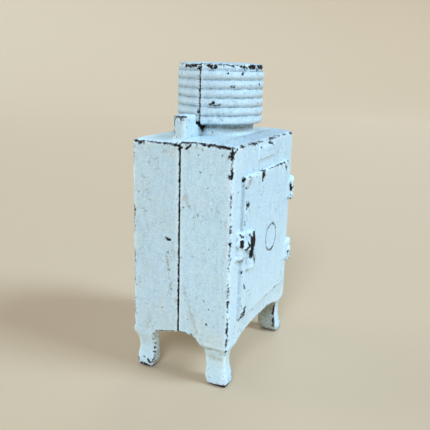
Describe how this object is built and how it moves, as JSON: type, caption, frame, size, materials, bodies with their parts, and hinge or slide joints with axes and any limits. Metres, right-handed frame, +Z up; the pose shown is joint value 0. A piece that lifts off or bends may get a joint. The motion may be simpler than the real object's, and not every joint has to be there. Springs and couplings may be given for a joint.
{
  "type": "refrigerator coin bank",
  "caption": "Cast-iron still bank shaped as an early refrigerator on short legs with a ribbed round coil housing, made as front and rear castings held by a long screw.",
  "frame": {"origin": "middle of the whole bank's footprint, on the plane that the four feet stand on", "axes": "+Z up, -Y the front with the door, +Y the back with the coin slot, X across the front"},
  "size_m": [0.056, 0.0414, 0.108],
  "materials": {
    "painted_casting": "old off-white enamel brushed over rough cast iron, chipped to dark brown iron along the edges",
    "bare_screw": "dark oxidised steel with traces of white paint"
  },
  "bodies": {
    "front_half": {"front_half": "painted_casting"},
    "rear_half": {"rear_half": "painted_casting"},
    "assembly_screw": {"assembly_screw": "bare_screw"}
  },
  "joints": [
    {"name": "rear_lift_off", "type": "slide", "parent": "front_half", "child": "rear_half", "axis": [0, 1, 0], "range_m": [0, 0.06]},
    {"name": "screw_withdraw", "type": "slide", "parent": "rear_half", "child": "assembly_screw", "axis": [0, 1, 0], "range_m": [0, 0.045]}
  ]
}
